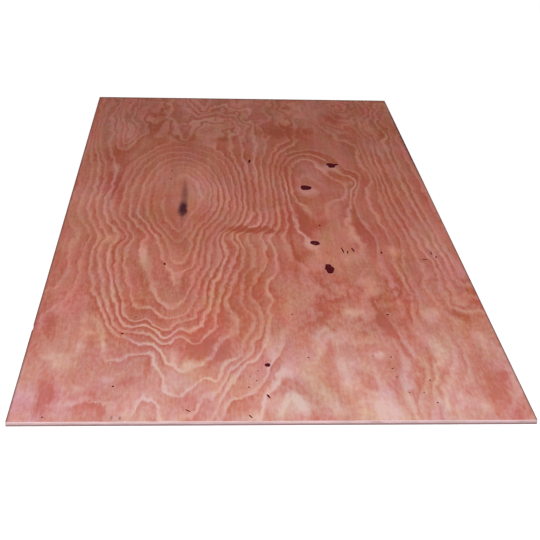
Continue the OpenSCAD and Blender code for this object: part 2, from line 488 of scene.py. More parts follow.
faceLook = {
    # far, middle and near tones hold painted light fall-off: paler near the front as if lit by a lamp
    # there, darker at the far end as painted shade
    "farDark": (0.315, 0.072, 0.038, 1), "farPale": (0.545, 0.240, 0.185, 1),
    "midDark": (0.405, 0.090, 0.052, 1), "midPale": (0.650, 0.305, 0.242, 1),
    "nearDark": (0.510, 0.158, 0.118, 1), "nearPale": (0.670, 0.435, 0.375, 1),
    "ground": 0.36,  # tone where no ring shows
    "lineWidth": 0.020,  # a pale line and its fall, in metres
    "deep": (0.20, 0.032, 0.022, 1),  # under the darkest tone
    "flush": (0.42, -0.33, 0.0), "warmth": (0.0, 0.0, -0.90),  # how far red, green and blue stray with each
    "streak": (0.056, 0.009, 0.018, 1),
    "darkening": (0.080, 0.045, 0.042, 1),
    "fibreTone": 0.18, "streakTone": 0.16, "driftTone": 1.2, "fineTone": 0.20,  # strength of each
    "mottleTone": (0.6, 1.05),  # far and near
    "ringWeight": (0.5, 1.5),  # faintest and strongest ring
    "streakSpots": [  # weight, place, size, softness
        (0.97, (-0.234, 0.012), (0.022, 0.100), 0.7), (0.55, (-0.230, 0.15), (0.022, 0.17), 1.0),
        (0.12, (-0.236, -0.14), (0.014, 0.12), 1.0), (0.22, (0.19, 0.36), (0.026, 0.035), 0.9),
        (0.75, (0.611, 0.70), (0.012, 0.60), 0.6), (0.45, (-0.373, -1.204), (0.0045, 0.012), 0.8),
        (0.55, (-0.354, -1.206), (0.0045, 0.012), 0.8),
    ],
    "halo": (0.62, 0.33, 0.32, 1),
    "haloSpots": [
        (0.25, (0.183, 0.192), (0.048, 0.058), 0.8), (0.30, (0.292, 0.408), (0.055, 0.050), 0.8),
        (0.25, (0.176, -0.260), (0.044, 0.050), 0.8), (0.50, (-0.363, -1.204), (0.008, 0.011), 0.6),
    ],
    "toneSpots": [  # paler above nought, redder below it
        (0.35, (0.190, 0.175), (0.065, 0.055), 0.9), (0.35, (0.290, 0.395), (0.060, 0.045), 0.9),
        (0.20, (0.175, -0.270), (0.060, 0.060), 0.9), (0.35, (0.16, -0.40), (0.05, 0.09), 0.9),
        (0.45, (0.04, -1.17), (0.10, 0.08), 0.8), (0.20, (0.25, -1.20), (0.12, 0.14), 0.8),
        (0.35, (0.184, -0.97), (0.020, 0.09), 0.8), (0.35, (0.190, -1.06), (0.018, 0.05), 0.8),
        (0.30, (0.225, -1.12), (0.030, 0.035), 0.8), (0.20, (0.262, -1.18), (0.035, 0.05), 0.8),
        (-0.25, (0.14, -1.05), (0.035, 0.07), 0.8), (0.50, (0.284, -0.928), (0.017, 0.026), 0.5),
        (0.35, (0.405, -1.15), (0.02, 0.05), 0.8), (0.30, (0.45, -1.12), (0.015, 0.04), 0.8),
        (-0.30, (0.475, -1.10), (0.02, 0.04), 0.8), (0.35, (0.505, -1.17), (0.02, 0.05), 0.8),
        (0.30, (0.523, -1.05), (0.008, 0.06), 0.8), (-0.35, (-0.451, -0.87), (0.022, 0.045), 0.8),
        (0.35, (-0.479, -0.88), (0.010, 0.05), 0.8), (0.35, (-0.418, -0.875), (0.010, 0.05), 0.8),
        (0.35, (-0.453, -0.812), (0.025, 0.015), 0.8), (0.35, (-0.549, -0.928), (0.03, 0.03), 0.8),
        (0.30, (-0.459, -1.081), (0.025, 0.035), 0.8), (0.30, (-0.392, -1.035), (0.025, 0.03), 0.8),
        (-0.30, (-0.344, -1.058), (0.04, 0.03), 0.8), (-0.30, (-0.302, -0.985), (0.014, 0.05), 0.8),
        (-0.30, (-0.422, -1.12), (0.022, 0.06), 0.8), (0.40, (0.45, -0.90), (0.04, 0.16), 0.8),
        (0.45, (0.25, -0.71), (0.06, 0.05), 0.8), (0.45, (0.455, -0.70), (0.04, 0.06), 0.8),
        (0.15, (0.28, -0.91), (0.05, 0.04), 0.7), (0.35, (0.42, -0.31), (0.04, 0.06), 0.8),
        (0.30, (-0.475, 0.385), (0.03, 0.06), 0.9), (0.35, (-0.455, -0.235), (0.03, 0.04), 0.9),
        (0.30, (-0.355, -0.32), (0.03, 0.08), 0.9), (0.25, (-0.55, -0.68), (0.04, 0.06), 0.9),
        (0.30, (-0.50, -0.97), (0.06, 0.06), 0.9), (0.20, (-0.31, -1.17), (0.08, 0.10), 0.8),
        (0.35, (-0.245, -0.94), (0.03, 0.06), 0.9), (0.40, (0.005, -0.90), (0.025, 0.10), 0.7),
        (0.15, (-0.19, 0.18), (0.08, 0.28), 0.9), (0.20, (0.20, -0.90), (0.18, 0.25), 0.9),
        (-0.50, (-0.53, -1.12), (0.035, 0.14), 0.8), (-0.45, (0.550, -1.12), (0.05, 0.22), 0.9),
        (-0.22, (-0.335, -0.50), (0.05, 0.08), 0.8), (-0.35, (0.105, -0.38), (0.014, 0.26), 0.8),
        (-0.35, (0.390, -0.60), (0.014, 0.24), 0.8), (-0.75, (-0.01, -0.160), (0.13, 0.035), 0.9),
        (-0.30, (-0.07, -0.180), (0.05, 0.03), 0.9), (-0.35, (0.13, 0.80), (0.14, 0.12), 0.9),
        (-0.30, (0.35, 0.95), (0.06, 0.16), 0.9), (-0.45, (-0.16, -0.91), (0.09, 0.10), 0.8),
        (-0.28, (0.33, -0.05), (0.07, 0.26), 0.9), (-0.25, (-0.57, -0.76), (0.03, 0.11), 0.8),
        (-0.35, (-0.10, 0.70), (0.06, 0.04), 0.9), (-0.30, (0.53, -0.71), (0.04, 0.05), 0.7),
        (-0.25, (-0.22, -1.14), (0.08, 0.06), 0.8), (-0.35, (-0.455, 0.18), (0.028, 0.20), 0.9),
        (0.28, (-0.555, 0.18), (0.06, 0.35), 0.9), (0.20, (-0.57, -0.35), (0.05, 0.35), 0.9),
        (-0.35, (-0.518, -1.10), (0.009, 0.07), 0.8), (-0.30, (-0.541, -1.13), (0.009, 0.07), 0.8),
        # broad ones
        (0.24, (-0.29, -0.42), (0.15, 0.34), 0.9), (0.20, (-0.50, -0.54), (0.13, 0.24), 0.9),
        (0.18, (0.05, -0.60), (0.10, 0.18), 0.9), (-0.40, (0.28, -0.76), (0.14, 0.20), 0.9),
        (0.28, (-0.15, -1.06), (0.34, 0.26), 0.8), (-0.22, (0.55, -1.00), (0.09, 0.22), 0.9),
        (-0.15, (0.25, -1.00), (0.09, 0.16), 0.9), (-0.24, (0.12, 0.42), (0.11, 0.22), 0.9),
        (-0.25, (0.42, 0.70), (0.12, 0.25), 0.9), (-0.28, (0.16, -0.08), (0.16, 0.13), 0.9),
        (-0.14, (0.25, 0.20), (0.10, 0.15), 0.9), (-0.15, (-0.38, 0.80), (0.12, 0.14), 0.9),
        (0.18, (-0.14, 0.80), (0.10, 0.34), 0.9), (0.16, (0.0, 1.10), (0.14, 0.14), 0.9),
        (0.20, (0.55, 0.66), (0.08, 0.16), 0.9),
    ],
    "flushSpots": [  # redder above nought, greyer below it
        (0.13, (-0.16, -0.76), (0.16, 0.18), 0.9), (0.10, (-0.52, -0.62), (0.10, 0.18), 0.9),
        (-0.12, (-0.33, -0.04), (0.09, 0.16), 0.9), (-0.12, (-0.25, -0.22), (0.08, 0.12), 0.9),
        (-0.15, (0.10, -1.13), (0.12, 0.12), 0.9), (-0.12, (-0.36, -1.03), (0.12, 0.14), 0.9),
    ],
    "warmSpots": [  # more orange above nought, more rosy below it
        (0.10, (-0.08, -0.68), (0.24, 0.50), 0.9), (-0.22, (-0.56, -1.15), (0.18, 0.14), 0.9),
        (-0.10, (0.58, -1.18), (0.08, 0.12), 0.9), (0.05, (0.42, 0.75), (0.14, 0.30), 0.9),
        (-0.08, (-0.55, 0.95), (0.12, 0.40), 0.9),
    ],
}


def patchSums(*kinds):  # sum of each kind of patches at each point of the mesh, frayed along the grain
    build = growthSet
    places = []
    for x, y, _ in points:
        swayX, swayY = wander(x, y, "sway")
        frayX, frayY = wander(x, y, "fray")
        places.append((x + build["patchSway"][0] * swayX + build["fray"][0] * frayX,
                       y + build["patchSway"][1] * swayY + build["fray"][1] * frayY))
    places = np.array(places)
    sums = []
    for kind in kinds:
        values = np.zeros(len(places))
        for weight, spot, size, soft in faceLook[kind]:
            offset = (places - spot) / size
            share = np.clip((1.0 - np.hypot(offset[:, 0], offset[:, 1])) / soft, 0.0, 1.0)
            values += weight * share * share * (3.0 - 2.0 * share)
        sums.append(values)
    return sums


faceAreas = {  # place, size, softness
    "tongue": ((-0.22, -0.55), (0.36, 0.55), 0.6),  # folded ends of the left rings
    "front": ((-0.30, -1.05), (0.40, 0.22), 0.5),
    "core": ((-0.25, 0.27), (0.21, 0.56), 0.6),
    "under": ((-0.235, -0.30), (0.09, 0.28), 0.8),  # just below the streak
    "packed": ((-0.14, 0.22), (0.16, 0.36), 0.8),  # beside the streak, where rings lie twice as close
}


def inArea(tree, point, name, outside=0.0, inside=1.0):
    return span(tree, addSpot(tree, point, *faceAreas[name]), 0.0, 1.0, outside, inside)


def faceSwollen(tree, point):  # the far end and the near right part, where the peel wanders most
    x, y, _ = parts(tree, point)
    right = product(tree, step(tree, y, -0.25, -0.60), step(tree, x, 0.05, 0.18))
    near = step(tree, y, -0.88, -1.12, 0.0, 0.35)
    return calc(tree, "MAXIMUM", step(tree, y, 0.55, 0.85), calc(tree, "MAXIMUM", right, near))


def faceHeight(tree, point, density, swollen):
    _, y, _ = parts(tree, point)
    most = step(tree, y, 0.45, 0.80, 3.0, 5.5)
    broad, _ = cloud(tree, point, (10.0, 4.5, 1.0), 3.0)
    swell = offMiddle(tree, broad, span(tree, swollen, 0.0, 1.0, 0.7, most))
    steady = step(tree, density, 5.0, 35.0, 0.25, 1.0)  # flat rings would stray too far
    ragged, _ = cloud(tree, point, (90.0, 14.0, 1.0), 3.0, 0.6)
    kinked, _ = cloud(tree, point, (30.0, 16.0, 1.0), 2.0)
    strayed = total(tree, offMiddle(tree, ragged, 0.5), offMiddle(tree, kinked, 0.9))
    return total(tree, meshValue(tree, "growthLevel"), swell, product(tree, strayed, steady))


def faceContrast(tree, point, density, swollen):  # strong in the folds, faint where the rings lie flat
    x, _, _ = parts(tree, point)
    strong = product(tree, inArea(tree, point, "tongue", 0.60, 0.72),
                     span(tree, swollen, 0.0, 1.0, 1.0, 0.8),
                     inArea(tree, point, "core", 1.0, 0.40), inArea(tree, point, "under", 1.0, 0.5),
                     step(tree, x, 0.12, 0.22, 1.0, 0.8), step(tree, x, -0.54, -0.40, 0.7, 1.0),
                     inArea(tree, point, "front", 1.0, 1.25))
    clear = calc(tree, "MAXIMUM", swollen, inArea(tree, point, "front"))
    clear = calc(tree, "MAXIMUM", step(tree, density, 3.0, 14.0, 0.35, 1.0), clear)
    crowded = step(tree, density, 110.0, 200.0, 1.0, 0.3)
    patchy, _ = cloud(tree, point, (9.0, 3.5, 1.0), 2.0)
    return product(tree, strong, clear, crowded, span(tree, patchy, 0.3, 0.7, 0.35, 1.2))


def faceRings(tree, point):  # tone of the rings, and where they are pale
    look = faceLook
    density = meshValue(tree, "growthSlope")
    swollen = faceSwollen(tree, point)
    least = product(tree, span(tree, swollen, 0.0, 1.0, 0.45, 0.85), inArea(tree, point, "front", 1.0, 0.4))
    spread = calc(tree, "MAXIMUM", product(tree, density, look["lineWidth"]), least)
    spread = calc(tree, "MINIMUM", spread, 0.90)
    height = faceHeight(tree, point, density, swollen)
    rings = place(tree, growthRings, Height=height, Rise=0.35, Spread=spread)
    fine = place(tree, growthRings, Height=product(tree, height, 2.0), Rise=0.35, Spread=0.8)
    ringTone = product(tree, calc(tree, "SUBTRACT", rings["Pale"], look["ground"]),
                       faceContrast(tree, point, density, swollen),
                       span(tree, rings["Weight"], 0.0, 1.0, *look["ringWeight"]))
    fineTone = product(tree, calc(tree, "SUBTRACT", fine["Pale"], look["ground"]),
                       inArea(tree, point, "packed"), look["fineTone"])
    return total(tree, ringTone, fineTone), rings["Pale"]


def faceColour(tree, point, tone, driftTone):  # dark to pale by tone, both paler towards the near end: painted light fall-off, the near end painted as if lit by a lamp at the front and the far end darker as painted shade
    look = faceLook
    _, y, _ = parts(tree, point)
    paintedNearLight = step(tree, total(tree, y, product(tree, driftTone, 0.3)), -0.45, -1.15)
    paintedFarShade = step(tree, y, -0.2, 1.1)
    dark = tint(tree, paintedNearLight, tint(tree, paintedFarShade, look["midDark"], look["farDark"]), look["nearDark"])
    pale = tint(tree, paintedNearLight, tint(tree, paintedFarShade, look["midPale"], look["farPale"]), look["nearPale"])
    return tint(tree, span(tree, tone, 0.0, -1.0, 0.0, 0.5), tint(tree, tone, dark, pale), look["deep"])


def faceHue(tree, point, colour):  # redder and more orange here and there, at much the same lightness
    look = faceLook
    _, stray = cloud(tree, point, (14.0, 6.0, 1.0), 4.0, 0.65)
    flush, warmth, _ = parts(tree, along(tree, "SUBTRACT", stray, (0.5, 0.5, 0.5)))
    _, y, _ = parts(tree, point)
    flush = product(tree, flush, step(tree, y, -0.7, -1.0, 0.9, 0.45), step(tree, y, 0.4, 0.8, 1.0, 1.4))
    flush = calc(tree, "ADD", flush, meshValue(tree, "patchFlush"))
    warmth = calc(tree, "ADD", warmth, meshValue(tree, "patchWarmth"))
    flush = along(tree, "MULTIPLY", whole(tree, flush, flush, flush), look["flush"])
    warmth = along(tree, "MULTIPLY", whole(tree, warmth, warmth, warmth), look["warmth"])
    change = along(tree, "ADD", along(tree, "ADD", flush, warmth), (1.0, 1.0, 1.0))
    return along(tree, "MULTIPLY", colour, change)


def faceStains(tree, point, colour):  # dark streak, halos round the knots, darker along the rim and most at the far end
    look = faceLook
    _, blot = cloud(tree, point, (70.0, 30.0, 1.0), 3.0, 0.6)
    blot = along(tree, "MULTIPLY", along(tree, "SUBTRACT", blot, (0.5, 0.5, 0.5)), (0.016, 0.050, 0.0))
    blotted = along(tree, "ADD", point, blot)
    for kind in ("streak", "halo"):
        for weight, spot, size, soft in look[kind + "Spots"]:
            mask = addSpot(tree, blotted if size[1] > 0.05 else point, spot, size, soft)
            colour = tint(tree, product(tree, mask, weight), colour, look[kind])
    # the face is darker along its rim, most in a band about 20 mm deep at the far end
    rim = dict(Half=(halfWide, halfLong, 0), Side=0.007, Far=0.020, Near=0.001)
    darkening = place(tree, rimDarkening, Point=point, **rim)["Mask"]
    return tint(tree, product(tree, darkening, 0.85), colour, look["darkening"])


def faceVeneer():
    look = faceLook
    stuff, tree, shader, coords = newMaterial("faceVeneer")
    point = coords["Object"]
    _, y, _ = parts(tree, point)
    ringTone, pale = faceRings(tree, point)
    fibre = place(tree, woodFibre, Point=point, Across=420.0, Along=12.0)
    moved = place(tree, grainWarp, Point=point, Sway=0.035, Jag=0.10)["Moved"]
    drift, _ = cloud(tree, moved, (5.0, 2.2, 1.0), 4.0, 0.55)
    mottle, _ = cloud(tree, point, (110.0, 45.0, 1.0), 4.0, 0.65)
    driftTone = offMiddle(tree, drift, look["driftTone"])
    tone = total(tree, ringTone, offMiddle(tree, fibre["Fibre"], look["fibreTone"]),
                 offMiddle(tree, fibre["Streak"], look["streakTone"]),
                 offMiddle(tree, mottle, step(tree, y, -0.2, -0.6, *look["mottleTone"])),
                 driftTone, meshValue(tree, "patchTone"), look["ground"])
    colour = faceHue(tree, moved, faceColour(tree, point, tone, driftTone))
    feed(tree, shader.inputs["Base Color"], faceStains(tree, point, colour))
    feed(tree, shader.inputs["Roughness"], span(tree, tone, 0.0, 1.0, 0.66, 0.80))
    shader.inputs["Specular IOR Level"].default_value = 0.02
    addBump(tree, shader, total(tree, product(tree, pale, -0.5), fibre["Fibre"]), 0.35, 0.0004)
    return stuff


# back veneer, plainer and paler

backLook = {"dark": (0.40, 0.17, 0.115, 1), "pale": (0.56, 0.30, 0.22, 1), "darkening": (0.14, 0.095, 0.08, 1)}


def backVeneer():
    look = backLook
    stuff, tree, shader, coords = newMaterial("backVeneer")
    point = coords["Object"]
    moved = place(tree, grainWarp, Point=point, Sway=0.045, Jag=0.05)["Moved"]
    x, _, _ = parts(tree, moved)
    height = total(tree, addHill(tree, moved, (0.12, -0.25), (0.42, 0.36), (1.1, 1.2), 11, core=0.1),
                   addHill(tree, moved, (-0.36, 0.60), (0.2, 0.22), (0.7, 0.8), 5),
                   product(tree, x, 9.0), 30.0)
    rings = place(tree, growthRings, Height=height, Rise=0.12, Spread=0.8)
    fibre = place(tree, woodFibre, Point=point, Across=420.0, Along=12.0)
    tone = total(tree, product(tree, rings["Pale"], 0.55), offMiddle(tree, fibre["Fibre"], 0.25),
                 offMiddle(tree, fibre["Streak"], 0.35), 0.2)
    colour = tint(tree, tone, look["dark"], look["pale"])
    specks = place(tree, flecks, Point=point, Scale=26.0, Share=0.12)
    colour = tint(tree, product(tree, specks["Mask"], 0.6), colour, look["darkening"])
    rim = dict(Half=(halfWide, halfLong, 0), Side=0.02, Far=0.02, Near=0.02)
    darkening = place(tree, rimDarkening, Point=point, **rim)
    colour = tint(tree, product(tree, darkening["Mask"], 0.5), colour, look["darkening"])
    feed(tree, shader.inputs["Base Color"], colour)
    feed(tree, shader.inputs["Roughness"], span(tree, tone, 0.0, 1.0, 0.70, 0.82))
    shader.inputs["Specular IOR Level"].default_value = 0.15
    addBump(tree, shader, fibre["Fibre"], 0.35, 0.0004)
    return stuff


# sawn edge with its five plies, top one first

edgeLook = {
    # the two lower plies are painted dark as shade where the edge meets the floor
    "plies": [(0.74, 0.54, 0.56, 1), (0.66, 0.46, 0.47, 1), (0.60, 0.41, 0.42, 1), (0.28, 0.17, 0.18, 1),
              (0.24, 0.14, 0.15, 1)],
    "glue": (0.075, 0.040, 0.036, 1),
    "dark": (0.22, 0.115, 0.105, 1),
}


def plyEdge():
    look = edgeLook
    stuff, tree, shader, coords = newMaterial("plyEdge")
    point = coords["Object"]
    _, _, z = parts(tree, point)
    count = len(look["plies"])
    depth = calc(tree, "DIVIDE", calc(tree, "SUBTRACT", thick, z), thick)
    ply = calc(tree, "MULTIPLY", depth, float(count))
    colour = look["plies"][0]
    for i in range(1, count):
        colour = tint(tree, calc(tree, "GREATER_THAN", ply, float(i)), colour, look["plies"][i])
    nx, ny, _ = parts(tree, coords["Normal"])
    onEnd = calc(tree, "GREATER_THAN", calc(tree, "ABSOLUTE", ny), calc(tree, "ABSOLUTE", nx))
    odd = calc(tree, "MODULO", calc(tree, "FLOOR", ply), 2.0)
    endGrain = calc(tree, "ABSOLUTE", calc(tree, "SUBTRACT", onEnd, odd))  # cut across its fibres here
    pores, _ = cloud(tree, point, (900.0, 900.0, 1400.0), 2.0, 0.6)
    runs, _ = cloud(tree, point, (60.0, 60.0, 1600.0), 2.0, 0.6)
    patches, _ = cloud(tree, point, (14.0, 14.0, 180.0), 2.0)
    grain = tint(tree, endGrain, runs, pores)
    shade = total(tree, offMiddle(tree, grain, -1.1), offMiddle(tree, patches, -1.0), 0.22)
    colour = tint(tree, calc(tree, "MAXIMUM", shade, 0.0), colour, look["dark"])
    onPly = calc(tree, "FRACT", calc(tree, "ADD", ply, 0.5))
    fromLine = calc(tree, "ABSOLUTE", calc(tree, "SUBTRACT", onPly, 0.5))
    onLine = product(tree, step(tree, fromLine, 0.04, 0.11, 1.0, 0.0), calc(tree, "GREATER_THAN", ply, 0.5),
                     calc(tree, "LESS_THAN", ply, count - 0.5))
    colour = tint(tree, product(tree, onLine, 0.50), colour, look["glue"])
    feed(tree, shader.inputs["Base Color"], colour)
    feed(tree, shader.inputs["Roughness"], span(tree, endGrain, 0.0, 1.0, 0.78, 0.9))
    shader.inputs["Specular IOR Level"].default_value = 0.25
    addBump(tree, shader, grain, 0.5, 0.0004)
    return stuff


# dead knots, near black, with a lighter heart in one of them

knotLook = {"dark": (0.064, 0.006, 0.009, 1), "brown": (0.130, 0.014, 0.021, 1),
            "heartDark": (0.110, 0.018, 0.024, 1), "heartPale": (0.24, 0.060, 0.062, 1)}


def knotWood(name, dark, pale):
    stuff, tree, shader, coords = newMaterial(name)
    point = coords["Object"]
    rough, _ = cloud(tree, point, (260.0, 200.0, 200.0), 3.0, 0.6)
    crack = put(tree, "ShaderNodeTexVoronoi", feature="DISTANCE_TO_EDGE")
    feed(tree, crack.inputs["Vector"], point)
    crack.inputs["Scale"].default_value = 170.0
    gap = step(tree, crack.outputs["Distance"], 0.0, 0.10)
    tone = product(tree, step(tree, rough, 0.35, 0.7), gap)
    feed(tree, shader.inputs["Base Color"], tint(tree, tone, dark, pale))
    feed(tree, shader.inputs["Roughness"], span(tree, rough, 0.3, 0.7, 0.55, 0.8))
    shader.inputs["Specular IOR Level"].default_value = 0.0
    addBump(tree, shader, total(tree, rough, gap), 0.5, 0.0005)
    return stuff


# the panel as one closed mesh

panelBuild = {
    "corner": 2.0 * mm,  # plan radius
    "rim": 1.8 * mm,  # where the face stops and the worn arris starts
    "pitch": 6.0 * mm,  # between stations round the rim
    "cornerSteps": 4,
    "arris": 0.5 * mm,
    "groove": 0.35 * mm,  # glue lines stand back
    "endRough": 0.30 * mm, "sideRough": 0.10 * mm,
    "chip": 1.2 * mm,
    "wave": 0.25 * mm,  # the veneer is never quite flat
    "faceGrid": (8 * mm, 10 * mm), "backGrid": (60 * mm, 90 * mm),
    "voids": [  # gaps in the inner plies: side, where along it, ply from the top, half length, depth
        ("front", 0.233, 2, 16 * mm, 4.0 * mm), ("front", 0.575, 2, 12 * mm, 3.5 * mm),
        ("front", -0.41, 4, 10 * mm, 2.5 * mm), ("right", -0.36, 2, 20 * mm, 4.0 * mm),
        ("right", 0.71, 4, 14 * mm, 3.0 * mm), ("far", -0.21, 4, 18 * mm, 4.0 * mm),
        ("left", 0.33, 2, 15 * mm, 3.5 * mm), ("left", -0.94, 4, 22 * mm, 4.0 * mm),
    ],
    "nick": ("left", -0.785, 14 * mm, 3.0 * mm),
}

pitRings = {  # share of the outline, share of the depth
    "knot": [(1.30, 0.0), (1.07, 0.03), (0.98, 0.35), (0.88, 0.85), (0.60, 1.0), (0.30, 0.88)],
    "check": [(1.7, 0.0), (1.0, 0.2), (0.6, 1.0)],
    "dot": [(1.6, 0.0), (1.0, 0.3), (0.5, 1.0)],
}
deadKnots = [  # place, size, lobes, swell, turn of the lobes, how uneven
    ((0.300, 0.430), (34 * mm, 40 * mm), 3, 0.20, 0.3, 0.45),
    ((0.186, 0.208), (36 * mm, 42 * mm), 3, 0.05, 2.0, 0.12),
    ((0.178, -0.248), (28 * mm, 32 * mm), 2, 0.05, 3.0, 0.12),
    ((0.205, -0.430), (26 * mm, 54 * mm), 2, 0.14, 4.4, 0.30),
    ((-0.005, -0.973), (14 * mm, 16 * mm), 3, 0.06, 5.0, 0.12),
]
ringedKnot = 2
knotDepth = 1.2 * mm
grainChecks = [  # place, width and length, turn in degrees
    ((0.000, 0.463), (9 * mm, 36 * mm), -6), ((-0.280, 0.360), (3 * mm, 22 * mm), 0),
    ((-0.280, 0.280), (3 * mm, 18 * mm), 3), ((-0.280, -0.400), (6 * mm, 18 * mm), 8),
    ((0.205, -0.115), (5 * mm, 16 * mm), 0), ((0.258, -0.300), (5 * mm, 40 * mm), 5),
    ((0.272, -0.312), (4 * mm, 24 * mm), -8), ((0.290, -0.296), (6 * mm, 30 * mm), 12),
    ((0.528, -0.318), (4 * mm, 26 * mm), 4), ((0.538, -0.345), (4 * mm, 18 * mm), -10),
    ((0.500, -0.362), (5 * mm, 20 * mm), 80), ((0.375, -0.315), (5 * mm, 18 * mm), 0),
    ((-0.010, -1.115), (6 * mm, 18 * mm), 20), ((-0.200, -1.175), (4 * mm, 16 * mm), 50),
    ((-0.055, -1.200), (4 * mm, 16 * mm), 30),
]
pitchDots = [  # place, width
    ((-0.530, -1.200), 5 * mm), ((-0.380, -1.070), 6 * mm), ((0.100, -0.937), 5 * mm),
    ((-0.050, -1.025), 4 * mm), ((-0.055, -1.075), 5 * mm), ((-0.035, -1.045), 4 * mm),
    ((-0.030, -1.000), 4 * mm), ((-0.375, -0.815), 7 * mm), ((-0.345, -0.725), 5 * mm),
    ((0.310, -0.935), 5 * mm), ((0.305, -0.990), 5 * mm), ((0.310, -1.030), 4 * mm),
    ((0.265, -0.930), 4 * mm), ((0.390, -1.045), 5 * mm), ((0.390, -1.145), 5 * mm),
    ((0.330, -1.100), 4 * mm), ((0.365, -1.100), 4 * mm), ((0.335, -0.710), 7 * mm),
    ((0.075, -0.710), 5 * mm), ((0.455, 1.105), 8 * mm), ((-0.475, 1.140), 8 * mm),
]

slots = ["face", "back", "edge", "knot", "heart"]
points = []
polys = []  # corners, slot, chart of the bake map


def addPoint(x, y, z):
    points.append((x, y, z))
    return len(points) - 1


def addPoly(corners, slot, chart):
    polys.append((tuple(corners), slots.index(slot), chart))


def ripple(x, y, z=0.0):
    return noise.noise(Vector((x, y, z)))


def faceLevel(x, y):
    return thick - panelBuild["wave"] * (0.5 + 0.5 * ripple(14 * x, 4 * y, 3.7))


def rimStations():  # anticlockwise from the front right corner: base point, outward normal, side
    radius = panelBuild["corner"]
    wide = halfWide - radius
    long = halfLong - radius
    corners = [(wide, -long), (wide, long), (-wide, long), (-wide, -long)]
    sides = ["right", "far", "left", "front"]
    stations = []
    for i, side in enumerate(sides):
        here = Vector(corners[i])
        ahead = Vector(corners[(i + 1) % 4])
        for k in range(panelBuild["cornerSteps"] + 1):
            angle = math.radians(90 * (i - 1 + k / panelBuild["cornerSteps"]))
            owner = side if 2 * k > panelBuild["cornerSteps"] else sides[i - 1]
            stations.append((here, Vector((math.cos(angle), math.sin(angle))), owner))
        normal = Vector((math.cos(math.radians(90 * i)), math.sin(math.radians(90 * i))))
        count = round((ahead - here).length / panelBuild["pitch"])
        stations += [(here.lerp(ahead, k / count), normal, side) for k in range(1, count)]
    return stations


def edgeRows():  # height and inset of each row down the edge, with the ply it is on
    build = panelBuild
    count = len(edgeLook["plies"])
    ply = thick / count
    rows = [(thick - 0.06 * mm, 0.55 * mm, "arris"), (thick - build["arris"], 0.05 * mm, 0)]
    for i in range(count):
        top = thick - i * ply
        heights = [top - 0.25 * ply, top - 0.5 * ply, top - 0.75 * ply, top - 0.93 * ply]
        if i:
            heights.insert(0, top - 0.07 * ply)
        if i == count - 1:
            heights[-1] = build["arris"]
        rows += [(height, 0.02 * mm, i) for height in heights]
        if i < count - 1:
            rows.append((top - ply, build["groove"], "glue"))
    return rows + [(0.06 * mm, 0.55 * mm, "arris")]


def rimInset(station, height, inset, ply):
    base, normal, side = station
    build = panelBuild
    onEnd = side in ("front", "far")
    where = base.x if onEnd else base.y
    spot = base + normal * build["corner"]
    if ply == "arris":
        worn = max(0.0, ripple(38 * spot.x, 38 * spot.y, 90 * height) - 0.25)
        return inset + build["chip"] * worn
    if ply == "glue":
        return inset + 0.12 * mm * ripple(60 * spot.x, 60 * spot.y, 300 * height)
    acrossFibres = onEnd == (ply % 2 == 0)
    rough = build["endRough"] if acrossFibres else build["sideRough"]
    inset += rough * (0.5 + 0.5 * ripple(90 * spot.x, 90 * spot.y, 700 * height))
    for voidSide, at, voidPly, half, deep in build["voids"]:
        if side == voidSide and ply == voidPly - 1:
            share = max(0.0, 1 - ((where - at) / half) ** 2)
            level = (thick - height) / thick * len(edgeLook["plies"]) - ply
            inset += deep * math.sqrt(share) * max(0.0, 1 - (2 * level - 1) ** 4)
    return inset


def nickDepth(station, height):
    side, at, half, deep = panelBuild["nick"]
    if station[2] != side:
        return 0.0
    share = max(0.0, 1 - ((station[0].y - at) / half) ** 2)
    return deep * share * max(0.0, 1 - (thick - height) / (0.5 * thick))


def makeRim():
    stations = rimStations()
    build = panelBuild
    rows = []

    def ring(height, insets):
        row = []
        for station, inset in zip(stations, insets):
            spot = station[0] + station[1] * (build["corner"] - inset)
            level = min(height, faceLevel(*spot)) if height > 0.9 * thick else height
            row.append(addPoint(spot.x, spot.y, level))
        return row

    def insetOf(station, height, inset, ply):
        return rimInset(station, height, inset, ply) + nickDepth(station, height)

    rows.append(ring(thick, [build["rim"] + nickDepth(s, thick) for s in stations]))
    for height, inset, ply in edgeRows():
        rows.append(ring(height, [insetOf(s, height, inset, ply) for s in stations]))
    rows.append(ring(0.0, [build["rim"] for s in stations]))
    last = len(rows) - 2
    for i in range(len(rows) - 1):
        slot, chart = ("face", "face") if i == 0 else ("back", "back") if i == last else ("edge", "edge")
        for k, station in enumerate(stations):
            n = (k + 1) % len(stations)
            corners = (rows[i][k], rows[i + 1][k], rows[i + 1][n], rows[i][n])
            addPoly(corners, slot, station[2] if chart == "edge" else chart)
    return rows[0], rows[-1]


